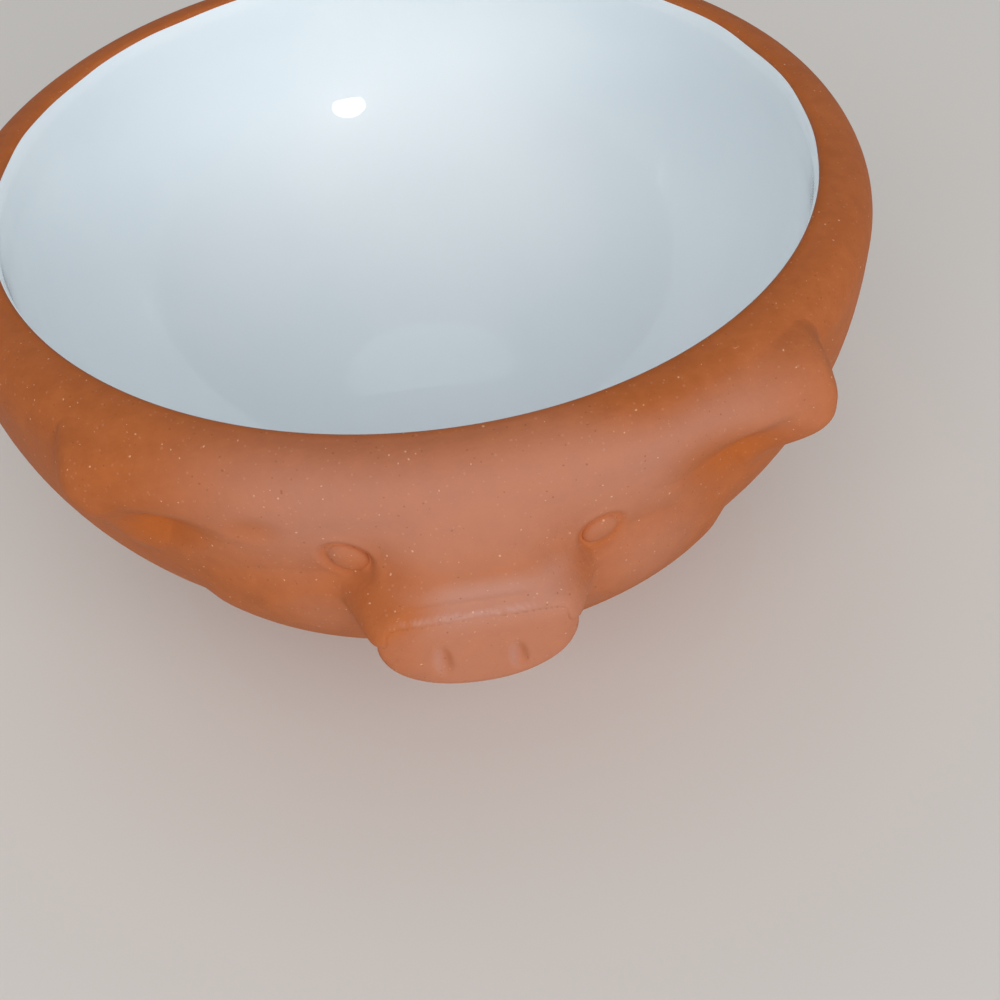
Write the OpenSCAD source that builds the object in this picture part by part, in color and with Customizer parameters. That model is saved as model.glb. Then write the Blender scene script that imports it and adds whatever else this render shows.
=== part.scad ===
// Small spice bowl with a pig's face: a thrown clay body on a turned foot,
// a white glass lining, and a face of clay pieces stuck on with slip.
// The foot stands on z = 0 and the pig looks along -Y. Sizes are in millimetres.

/* [Bowl] */
// Widest diameter of the clay body
bowl_d = 90; // [84:1:98]
// Radius of the curve that the belly follows in section
belly_r = 33; // [30:0.5:36]
// Height of the upright band between the belly and the rim
band_h = 1.1; // [0.6:0.1:6]
// Radius of the rounded rim
rim_r = 4.5; // [4:0.1:4.8]
// Thickness of the clay wall
wall_t = 5; // [4:0.1:6]
// How far the mouth leans in above the belly
mouth_lean = 0.5; // [0.2:0.1:1]

/* [Foot] */
// Height of the bowl's underside above the table
foot_h = 3; // [2:0.1:5]
// Outer diameter of the foot ring on the table
foot_d = 48; // [40:1:54]
// Width of the face that the foot ring stands on
foot_face = 3.2; // [2:0.1:5]

/* [Glaze] */
// Thickness of the glass lining
glaze_t = 0.6; // [0.4:0.1:1]
// How far below the rim's top the lining ends
glaze_drop = 0.4; // [0.3:0.1:2]

/* [Snout] */
// Width of the nose pad
nose_w = 16.6; // [15:0.1:18]
// Height of the nose pad
nose_h = 7.1; // [6:0.1:8]
// Thickness of the nose pad
nose_t = 2.6; // [2.2:0.1:3.2]
// How far the back of the nose pad stands off the belly
snout_reach = 4.1; // [3.5:0.1:5]
// Height above the table of the middle of the nose pad's back
nose_z = 24.9; // [24:0.1:26]
// How far the nose pad looks up, in degrees
nose_tilt = 23; // [18:1:26]
// Distance between the nostrils
nostril_gap = 6.1; // [5:0.1:7]

/* [Eyes] */
// Angle of each eye from the front, in degrees
eye_angle = 13.2; // [12:0.1:16]
// Height of the eyes above the table
eye_z = 32; // [30:0.1:34]
// Width of an eye
eye_w = 3.6; // [3:0.1:5]
// Height of an eye
eye_h = 2.9; // [2:0.1:4]
// How far an eye stands off the bowl
eye_proud = 0.6; // [0.4:0.1:1.2]
// How far the outer end of an eye is raised, in degrees
eye_slant = 26; // [0:1:40]

/* [Ears] */
// Angle of an ear's tip from the front, in degrees
ear_angle = 40; // [38:1:43]
// Angle at which an ear grows out of the rim, in degrees
ear_root_angle = 20; // [17:1:24]
// How far the tip of the left ear stands out past the bowl
left_ear_reach = 2.7; // [2:0.1:4]
// How far the tip of the right ear stands out past the bowl
right_ear_reach = 3.6; // [2:0.1:4.5]
// How far an ear's tip lies below the rim's top
ear_drop = 5.5; // [5:0.1:6]
// Thickness of an ear's edge
ear_t = 2.4; // [1.8:0.1:3]

/* [Hidden] */
$fn = 96;

clay_colour = [0.72, 0.45, 0.33];
worked_clay_colour = [0.76, 0.50, 0.38];
glaze_colour = [0.84, 0.90, 0.93];

bowl_r = bowl_d / 2;
belly_mid = [bowl_r - belly_r, foot_h + belly_r];
rim_mid = [bowl_r - rim_r, belly_mid.y + band_h];
bowl_h = rim_mid.y + rim_r;
mouth_r = bowl_r - wall_t - mouth_lean;

// The foot ring leans out a little as it rises, and its edges are wiped
foot_lean = 0.6;
foot_bevel = 0.6;

// The cheeks are one egg-shaped lump: its half sizes, and how far its front stands off the bowl's widest
cheek_half = [28.9, 22.3, 11];
cheek_in = 2.7;
cheek_mid = [0, cheek_half.y + cheek_in - bowl_r, bowl_h / 2];

// The bridge of the snout is drawn over balls of clay. It is as wide as the nose pad beside it, and narrower
// above it and at the forehead. Its front lies this far behind the pad's face.
bridge_ball = 2.2;
bridge_top_z = bowl_h - 5.5;
bridge_inset = 0.2;
crest_share = 0.68;
brow_share = 0.4;
crest_rise = 1.2;

// The nose pad's edge is rounded off by this much
nose_round = 1;
nostril_half = [0.9, 0.6, 1.7];
nostril_drop = 0.65;

// An ear is drawn over balls of clay: angle from the front, distance out past the bowl, distance down
// from the rim's top. They are its root, its upper edge, its tip, its back, its underside and the lip that
// runs down from its tip.
ear_ball = ear_t / 2;
function ear_balls(reach) = [[ear_root_angle, -3.2, 2],
                             [(ear_root_angle + ear_angle) / 2, 0, 2.4],
                             [ear_angle, reach - ear_ball, ear_drop],
                             [ear_angle + 4.5, -2.5, 3],
                             [ear_angle - 6, -2, ear_drop + 2],
                             [ear_angle - 0.8, reach - ear_ball - 0.8, ear_drop + 3.4],
                             [ear_angle - 1.6, -ear_ball, ear_drop + 6]];

// The hollow under an ear is a scoop: its radius, its angle from the front, its depth into the bowl's
// widest and the distance of its middle below the rim's top
scoop_r = 7;
scoop_angle = 28;
scoop_in = 0.5;
scoop_drop = 10;

// Facets round a ball of clay, round the nose pad and round the solid that trims the pieces
ball_fn = 24;
nose_fn = 48;
trim_fn = 360;

// Radius of the clay's outside at a height
function outer_r(z) =
    z > belly_mid.y ? bowl_r : belly_mid.x + sqrt(pow(belly_r, 2) - pow(z - belly_mid.y, 2));

// A place given by its angle from the front, its radius and its height
function around(angle, r, z) = [r * sin(angle), -r * cos(angle), z];

nose_back_y = -outer_r(nose_z) - snout_reach;

// A quarter of a disc, below and outside its own middle
module belly_quarter(r) {
    intersection() {
        circle(r);
        translate([0, -2 * r]) square(2 * r);
    }
}

// Half section of the bowl's outside, filled in
module outer_section() {
    translate(belly_mid) belly_quarter(belly_r);
    translate([0, foot_h]) square([belly_mid.x, belly_r]);
    translate([0, belly_mid.y]) square([bowl_r, band_h]);
    translate([0, rim_mid.y]) square([rim_mid.x, rim_r]);
    translate(rim_mid) intersection() {
        circle(rim_r);
        square(2 * rim_r);
    }
}

// Half section of the hollow, drawn in by a lining's thickness and closed at a height
module hollow_section(lining, top) {
    side = bowl_r - wall_t - lining;
    translate(belly_mid) belly_quarter(side - belly_mid.x);
    translate([0, foot_h + wall_t + lining]) square([belly_mid.x, belly_r - wall_t - lining]);
    polygon([[0, belly_mid.y], [side, belly_mid.y], [mouth_r - lining, top], [0, top]]);
}

// The bowl's outside as one filled solid, for trimming what is stuck on to it
module outer_form() {
    rotate_extrude($fn = trim_fn) outer_section($fn = trim_fn);
}

module clay_bowl() {
    color(clay_colour) rotate_extrude() difference() {
        outer_section();
        hollow_section(0, bowl_h + 1);
    }
}

module foot_ring() {
    outer = foot_d / 2;
    inner = outer - foot_face - 2 * foot_bevel;
    top = belly_mid.y / 2;
    color(clay_colour) rotate_extrude() difference() {
        polygon([[inner + foot_bevel, 0], [outer - foot_bevel, 0], [outer, foot_bevel],
                 [outer + foot_lean, top], [inner - foot_lean, top], [inner, foot_bevel]]);
        outer_section();
    }
}

module glaze_lining() {
    top = bowl_h - glaze_drop;
    color(glaze_colour) rotate_extrude() difference() {
        hollow_section(0, top);
        hollow_section(glaze_t, top);
    }
}

// Puts a flat drawing of the nose, with its height along Y, at the pad's back face
module at_nose() {
    translate([0, nose_back_y, nose_z]) rotate([90 - nose_tilt, 0, 0]) children();
}

// One ball of the bridge, at a place sideways and up the nose pad and out from the pad's back
module nose_ball(place) {
    at_nose() translate(place) sphere(bridge_ball, $fn = ball_fn);
}

// Cheeks and the bridge of the snout, with a seat cut into them for the nose pad
module muzzle() {
    half_w = nose_w / 2 - bridge_ball;
    front = nose_t - bridge_ball - bridge_inset;
    low_z = nose_z - nose_h / 2;
    color(worked_clay_colour) difference() {
        union() {
            translate(cheek_mid) scale(cheek_half) sphere(1);
            hull() for (side = [-1, 1]) {
                translate([side * half_w * brow_share, -outer_r(bridge_top_z) + bridge_ball, bridge_top_z])
                    sphere(bridge_ball, $fn = ball_fn);
                nose_ball([side * half_w * crest_share, nose_h / 2 + crest_rise, front]);
                nose_ball([side * half_w, 0, front]);
                nose_ball([side * half_w * crest_share, bridge_ball - nose_h / 2, -bridge_ball]);
                translate([side * half_w, -outer_r(low_z) + bridge_ball, low_z])
                    sphere(bridge_ball, $fn = ball_fn);
            }
        }
        outer_form();
        at_nose() pad_block();
    }
}

// The nose pad before the nostrils are pressed into it
module pad_block() {
    end_r = nose_h / 2;
    hull() for (side = [-1, 1]) translate([side * (nose_w / 2 - end_r), 0, 0]) {
        cylinder(r = end_r, h = nose_t - nose_round, $fn = nose_fn);
        cylinder(r = end_r - nose_round, h = nose_t, $fn = nose_fn);
    }
}

module nose_pad() {
    color(worked_clay_colour) at_nose() difference() {
        pad_block();
        for (side = [-1, 1])
            translate([side * nostril_gap / 2, -nostril_drop, nose_t])
                scale([nostril_half.x, nostril_half.z, nostril_half.y]) sphere(1);
    }
}

// One ear on the side that a sign gives, hollowed from below and trimmed to the bowl
module ear(side, reach) {
    color(worked_clay_colour) difference() {
        hull() for (ball = ear_balls(reach))
            translate(around(side * ball[0], bowl_r + ball[1], bowl_h - ball[2]))
                sphere(ear_ball, $fn = ball_fn);
        translate(around(side * scoop_angle, bowl_r + scoop_r - scoop_in, bowl_h - scoop_drop))
            sphere(scoop_r);
        outer_form();
    }
}

module left_ear() {
    ear(-1, left_ear_reach);
}

module right_ear() {
    ear(1, right_ear_reach);
}

// One eye pellet on the right of the face, trimmed to the bowl
module right_eye() {
    color(worked_clay_colour) difference() {
        translate(around(eye_angle, outer_r(eye_z), eye_z))
            rotate([0, 0, eye_angle])
                rotate([0, -eye_slant, 0])
                    scale([eye_w / 2, eye_proud, eye_h / 2]) sphere(1);
        outer_form();
    }
}

module left_eye() {
    mirror([1, 0, 0]) right_eye();
}

clay_bowl();
foot_ring();
glaze_lining();
muzzle();
nose_pad();
left_ear();
right_ear();
left_eye();
right_eye();
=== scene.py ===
"""Looks of a small clay spice bowl with a pig's face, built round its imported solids.

Lengths in the classes below are millimetres, in the part's own frame: the foot stands on z = 0 and
the face looks along -Y. A place on the bowl's outside is given by two lengths: across, round the bowl
from the middle of the face at the bowl's widest radius, and down, along the outside from the crown of
the rim. A place on the end of the snout is given by side and up, from the middle of the crease above
the nose pad. Every mesh is scaled to metres once, when it is written.
"""

import logging
import math
from dataclasses import dataclass, field, replace
from enum import Enum
from typing import Callable

import bmesh
import bpy
from mathutils import Matrix, Vector, noise


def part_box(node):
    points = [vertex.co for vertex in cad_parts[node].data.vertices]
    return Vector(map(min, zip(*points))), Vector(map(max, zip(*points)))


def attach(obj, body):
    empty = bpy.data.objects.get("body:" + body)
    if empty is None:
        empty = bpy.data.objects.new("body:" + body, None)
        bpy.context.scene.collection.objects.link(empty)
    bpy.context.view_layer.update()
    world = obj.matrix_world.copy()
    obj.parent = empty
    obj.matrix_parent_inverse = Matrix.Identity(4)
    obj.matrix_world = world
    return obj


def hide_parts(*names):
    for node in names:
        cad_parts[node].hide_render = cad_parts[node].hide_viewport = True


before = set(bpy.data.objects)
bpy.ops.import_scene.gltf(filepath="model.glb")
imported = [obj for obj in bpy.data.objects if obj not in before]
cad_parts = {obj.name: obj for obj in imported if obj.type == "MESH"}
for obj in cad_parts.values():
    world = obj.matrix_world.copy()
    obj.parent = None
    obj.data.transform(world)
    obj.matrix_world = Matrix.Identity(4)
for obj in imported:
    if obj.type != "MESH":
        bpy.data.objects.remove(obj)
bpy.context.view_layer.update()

MM = 0.001
BODY = "root"
log = logging.getLogger("spice_bowl")

# Points nearer to each other than this are merged
MERGE = 0.0005
# A turned point this near to a curve of the form lies on it
TOUCH = 0.001
# Room for rounding at the ends of a curve and by the axis
SLACK = 0.0001

Rgb = tuple[float, float, float]
Pair = tuple[float, float]
Triple = tuple[float, float, float]
Relief = Callable[[float, float], float]


class Side(Enum):
    """The side of the face that a piece is on, as seen by someone who looks at it."""

    LEFT = -1
    RIGHT = 1

    @property
    def word(self) -> str:
        """The side's name in lower case."""
        return self.name.lower()


def clamp(value: float) -> float:
    """A value kept between 0 and 1."""
    return min(max(value, 0.0), 1.0)


def mid(first: float, second: float, share: float) -> float:
    """A value that lies a share of the way from one to another."""
    return first + (second - first) * share


def smooth(low: float, high: float, value: float) -> float:
    """Eases from 0 at low to 1 at high."""
    t = clamp((value - low) / (high - low))
    return t * t * (3.0 - 2.0 * t)


def fade(low: float, high: float, value: float) -> float:
    """Eases from 1 at low to 0 at high."""
    return 1.0 - smooth(low, high, value)


def hump(t: float) -> float:
    """A smooth rise of height 1 at 0 that ends at -1 and 1."""
    return (1.0 - t * t) ** 2 if abs(t) < 1.0 else 0.0


def between(low: float, high: float, value: float) -> float:
    """A hump of height 1 midway between two ends, where it is 0."""
    return hump((2.0 * value - low - high) / (high - low))


def bell(t: float) -> float:
    """A peak of height 1 at 0 that runs out softly on both sides."""
    return math.exp(-(t**2))


def blend_max(first: float, second: float, reach: float) -> float:
    """The larger of two heights, with the valley between them filled over a reach."""
    near = max(reach - abs(first - second), 0.0) / reach
    return max(first, second) + near * near * reach / 4.0


def join(first: float, second: float, reach: float) -> float:
    """Two heights above a surface as one lump, with only the valley between them filled."""
    low = max(reach - max(first, second), 0.0) / reach
    return blend_max(first, second, reach) - low * low * reach / 4.0


def around(turn: float, radius: float, height: float) -> Vector:
    """The point at an angle from the front, a radius and a height."""
    return Vector((radius * math.sin(turn), -radius * math.cos(turn), height))


@dataclass(frozen=True)
class BowlForm:
    """The turned form of the bowl, with its main sizes measured on the packed clay bowl."""

    radius: float
    top: float
    underside: float
    rim_r: float = 4.5
    belly_r: float = 33.0
    wall: float = 5.0
    mouth_lean: float = 0.5

    @classmethod
    def from_frame(cls) -> "BowlForm":
        """Reads the clay bowl's own box.

        Returns:
            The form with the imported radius, top and underside.
        """
        low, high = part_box("clay_bowl")
        return cls(radius=(high.x - low.x) / 2 / MM, top=high.z / MM, underside=low.z / MM)

    @property
    def belly_mid(self) -> Pair:
        """Middle of the belly's curve, as radius and height."""
        return self.radius - self.belly_r, self.underside + self.belly_r

    @property
    def rim_mid(self) -> Pair:
        """Middle of the rim's curve, as radius and height."""
        return self.radius - self.rim_r, self.top - self.rim_r

    @property
    def mouth_r(self) -> float:
        """Radius of the mouth at the rim."""
        return self.radius - self.wall - self.mouth_lean

    @property
    def floor(self) -> float:
        """Height of the clay's floor inside."""
        return self.underside + self.wall

    @property
    def band_start(self) -> float:
        """How far down the upright band starts."""
        return self.rim_r * math.pi / 2

    @property
    def belly_start(self) -> float:
        """How far down the belly starts."""
        return self.band_start + self.rim_mid[1] - self.belly_mid[1]

    @property
    def belly_end(self) -> float:
        """How far down the flat underside starts."""
        return self.belly_start + self.belly_r * math.pi / 2

    def section(self, down: float) -> tuple[float, float, float, float]:
        """Follows the outside of the half section.

        Args:
            down: Distance along the outside from the crown of the rim.

        Returns:
            Radius and height of the point, and the two parts of its outward direction.
        """
        if down < self.band_start:
            turn = down / self.rim_r
            out, up = math.sin(turn), math.cos(turn)
            return self.rim_mid[0] + self.rim_r * out, self.rim_mid[1] + self.rim_r * up, out, up
        if down < self.belly_start:
            return self.radius, self.rim_mid[1] - (down - self.band_start), 1.0, 0.0
        turn = (down - self.belly_start) / self.belly_r
        out, up = math.cos(turn), -math.sin(turn)
        return self.belly_mid[0] + self.belly_r * out, self.belly_mid[1] + self.belly_r * up, out, up

    def spot(self, across: float, down: float, lift: float = 0.0) -> Vector:
        """A point on the outside, or above it by a lift."""
        radius, height, out, up = self.section(down)
        return around(across / self.radius, radius + out * lift, height + up * lift)

    def outward(self, across: float, down: float) -> Vector:
        """The outward direction at a place."""
        return around(across / self.radius, *self.section(down)[2:])

    def down_at(self, height: float) -> float:
        """Finds a height on the outside.

        Args:
            height: Height above the table.

        Returns:
            How far down the outside it lies.
        """
        if height > self.rim_mid[1]:
            return self.rim_r * math.acos(min((height - self.rim_mid[1]) / self.rim_r, 1.0))
        if height > self.belly_mid[1]:
            return self.band_start + self.rim_mid[1] - height
        turn = math.asin(min((self.belly_mid[1] - height) / self.belly_r, 1.0))
        return self.belly_start + self.belly_r * turn

    def hollow(self, height: float, lining: float) -> float:
        """Measures the hollow.

        Args:
            height: Height above the table.
            lining: How far the hollow is drawn in.

        Returns:
            Radius of the hollow at the height.
        """
        side = self.radius - self.wall - lining
        low = self.belly_mid[1]
        if height > low:
            return side - self.mouth_lean * (height - low) / (self.top - low)
        span = side - self.belly_mid[0]
        return self.belly_mid[0] + math.sqrt(max(span**2 - (low - height) ** 2, 0.0))


@dataclass(frozen=True)
class EyeSeat:
    """Where an eye pellet sits, and the groove pressed into the clay round it."""

    side: Side
    across: float
    down: float
    half: Pair
    slant: float
    groove_depth: float
    groove_at: float = 1.06
    groove_width: float = 0.2
    lip_at: float = 1.5
    lip_width: float = 0.26
    lip_share: float = 0.25

    def ring(self, across: float, down: float) -> float:
        """Measures a place against the eye's oval.

        Args:
            across: Place round the bowl.
            down: Place down the outside.

        Returns:
            How far out of the oval the place lies, with 1 on its edge.
        """
        away = self.side.value * across - self.across
        low = down - self.down
        cos, sin = math.cos(self.slant), math.sin(self.slant)
        return math.hypot((away * cos - low * sin) / self.half[0], (away * sin + low * cos) / self.half[1])

    def groove(self, across: float, down: float) -> float:
        """Share of the groove's depth at a place."""
        return bell((self.ring(across, down) - self.groove_at) / self.groove_width)

    def relief(self, across: float, down: float) -> float:
        """Height of the groove and of the clay that it pushed up."""
        lip = bell((self.ring(across, down) - self.lip_at) / self.lip_width)
        return self.groove_depth * (self.lip_share * lip - self.groove(across, down))


@dataclass(frozen=True)
class Hollow:
    """A soft hollow that a thumb pressed into the bowl, falling away from the face as it runs round."""

    side: Side
    across: float
    down: float
    half: Pair
    fall: float
    depth: float

    def share(self, across: float, down: float, spread: float = 1.0) -> float:
        """Measures the hollow at a place.

        Args:
            across: Place round the bowl.
            down: Place down the outside.
            spread: How much the hollow is widened.

        Returns:
            Share of the hollow's depth there.
        """
        away = self.side.value * across - self.across
        low = down - self.down - self.fall * away
        return hump(math.hypot(away / self.half[0], low / self.half[1]) / spread)

    def weight(self, across: float, down: float, spread: float = 1.0) -> float:
        """How much the hollow shows at a place, which is less where it is shallower than 1 mm."""
        return self.share(across, down, spread) * min(self.depth, 1.0)

    def relief(self, across: float, down: float) -> float:
        """Depth of the hollow at a place, as a height below zero."""
        return -self.depth * self.share(across, down)


# Places of the nostrils' middles, sideways and up the nose plane
NOSTRILS: tuple[Pair, ...] = ((-3.15, -3.95), (2.95, -4.45))
EYE_SEATS = (
    EyeSeat(Side.LEFT, 10.0, 11.5, (1.85, 1.42), math.radians(32), 0.34),
    EyeSeat(Side.RIGHT, 10.8, 12.8, (1.75, 1.42), math.radians(19), 0.24),
)
HOLLOWS = (
    Hollow(Side.LEFT, 26.8, 11.5, (7.6, 3.2), 0.2, 1.15),
    Hollow(Side.LEFT, 17.4, 8.9, (3.2, 2.0), 0.1, 0.3),
    Hollow(Side.RIGHT, 24.2, 11.7, (9.0, 5.4), 0.34, 1.0),
)


@dataclass(frozen=True)
class Skin:
    """The outside of the bowl as the potter left it: the turned form, uneven, with what is pressed in."""

    form: BowlForm
    eyes: tuple[EyeSeat, ...] = EYE_SEATS
    hollows: tuple[Hollow, ...] = HOLLOWS
    uneven: float = 0.18
    uneven_size: float = 17.0
    full_height: float = 0.3
    full_down: Pair = (8.0, 34.0)

    def swell(self, across: float, down: float) -> float:
        """Height of the hand-made unevenness at a place, with the belly a little full."""
        dip = noise.noise(self.form.spot(across, down) / self.uneven_size) - 1.0
        return self.full_height * between(*self.full_down, down) + self.uneven * dip / 2.0

    def relief(self, across: float, down: float) -> float:
        """Height of the unevenness and of everything pressed into the form at a place."""
        pressed = sum(mark.relief(across, down) for mark in self.eyes + self.hollows)
        return pressed + self.swell(across, down)

    def point(self, across: float, down: float, lift: float) -> Vector:
        """A point of the skin, or above it by a lift."""
        return self.form.spot(across, down, lift + self.relief(across, down))

    def axes(self, across: float, down: float) -> tuple[Vector, Vector, Vector]:
        """Finds the directions at a place.

        Args:
            across: Place round the bowl.
            down: Place down the outside.

        Returns:
            The directions round the bowl, outwards, and up along the outside.
        """
        turn = across / self.form.radius
        sideways = Vector((math.cos(turn), math.sin(turn), 0.0))
        outward = self.form.outward(across, down)
        return sideways, outward, sideways.cross(-outward)


@dataclass(frozen=True)
class Oval:
    """An oval on the bowl's outside, with its middle and half sizes across and down."""

    middle: Pair
    half: Pair
    power: float = 2.0
    halvings: int = 22

    def ring(self, across: float, down: float) -> float:
        """Measures a place against the oval.

        Args:
            across: Place round the bowl.
            down: Place down the outside.

        Returns:
            How far out the place lies, from 0 at the middle to 1 on the edge.
        """
        side = (abs(across - self.middle[0]) / self.half[0]) ** self.power
        low = (abs(down - self.middle[1]) / self.half[1]) ** self.power
        return (side + low) ** (1.0 / self.power)

    def reach(self, start: Pair, angle: float) -> float:
        """Finds the edge by halving.

        Args:
            start: A place inside the oval.
            angle: Direction in which the edge is looked for.

        Returns:
            Distance from the start to the edge.
        """
        near, far = 0.0, 2.0 * sum(self.half)
        for _ in range(self.halvings):
            middle = (near + far) / 2.0
            place = start[0] + middle * math.cos(angle), start[1] + middle * math.sin(angle)
            near, far = (middle, far) if self.ring(*place) < 1.0 else (near, middle)
        return near


@dataclass(frozen=True)
class Outline:
    """The edge of a piece that is stuck on the bowl: overlapping ovals seen from one start inside all."""

    start: Pair
    ovals: tuple[Oval, ...]
    ease: float = 2.0

    def place(self, grid: Pair) -> Triple:
        """Maps a square grid on to the outline.

        Args:
            grid: A place on the square from -1 to 1 both ways.

        Returns:
            The place across and down, and its share of the way from the start to the edge.
        """
        gx, gy = grid
        x, y = gx * math.sqrt(1.0 - gy * gy / 2.0), gy * math.sqrt(1.0 - gx * gx / 2.0)
        share, angle = math.hypot(x, y), math.atan2(y, x)
        reach = 0.0
        for oval in self.ovals:
            reach = blend_max(reach, oval.reach(self.start, angle), self.ease)
        far = share * reach
        return self.start[0] + far * math.cos(angle), self.start[1] + far * math.sin(angle), share


@dataclass(frozen=True)
class NosePlane:
    """The slanted plane that the bridge of the snout and the nose pad share, and the pad's edge on it."""

    crease: Triple = (-0.4, -48.2, 29.2)
    tilt: float = math.radians(23)
    half_width: float = 8.2
    wide_at: float = -2.5
    above: float = 2.5
    below: float = 4.6
    above_power: float = 4.5
    below_power: float = 2.15
    least_slope: float = 0.2
    least_ring: float = 0.001

    @property
    def outward(self) -> Vector:
        """Direction that the nose pad faces."""
        return Vector((0.0, -math.cos(self.tilt), math.sin(self.tilt)))

    @property
    def upward(self) -> Vector:
        """Direction up the plane."""
        return Vector((0.0, math.sin(self.tilt), math.cos(self.tilt)))

    def meet(self, start: Vector, direction: Vector, sink: float) -> Triple:
        """Follows a line to the plane.

        Args:
            start: Where the line starts.
            direction: Its direction, of length 1.
            sink: How far the plane is set back.

        Returns:
            Length of the line, and the sideways and upward place on the plane.
        """
        slope = max(direction.dot(self.outward), self.least_slope)
        length = (Vector(self.crease) - self.outward * sink - start).dot(self.outward) / slope
        place = start + direction * length - Vector(self.crease)
        return length, place.x, place.dot(self.upward)

    def locate(self, point: Vector) -> Triple:
        """A point's place sideways, up the plane and out of it."""
        offset = point - Vector(self.crease)
        return offset.x, offset.dot(self.upward), offset.dot(self.outward)

    def outside(self, side: float, up: float) -> float:
        """Measures a place against the pad's lower edge.

        Args:
            side: Place sideways.
            up: Place up the plane.

        Returns:
            Distance of the place outside the edge, or below zero inside it.
        """
        low, away = (self.wide_at - up) / self.below, abs(side) / self.half_width
        if low <= 0.0:
            return abs(side) - self.half_width
        ring = (away**self.below_power + low**self.below_power) ** (1.0 / self.below_power)
        return math.hypot(side, self.wide_at - up) * (1.0 - 1.0 / max(ring, self.least_ring))


@dataclass(frozen=True)
class Grit:
    """Torn clay along the crease: coarse noise and finer noise, each with two scales and a seed."""

    coarse: Triple
    fine: Triple
    fine_share: float

    def at(self, side: float, up: float) -> float:
        """Tears the clay at a place on the nose plane.

        Args:
            side: Place sideways.
            up: Place up the plane.

        Returns:
            Roughness there, about -1 to 1.
        """
        coarse, fine = (
            noise.noise(Vector((side * along, up * over, seed)))
            for along, over, seed in (self.coarse, self.fine)
        )
        return coarse + self.fine_share * fine


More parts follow.
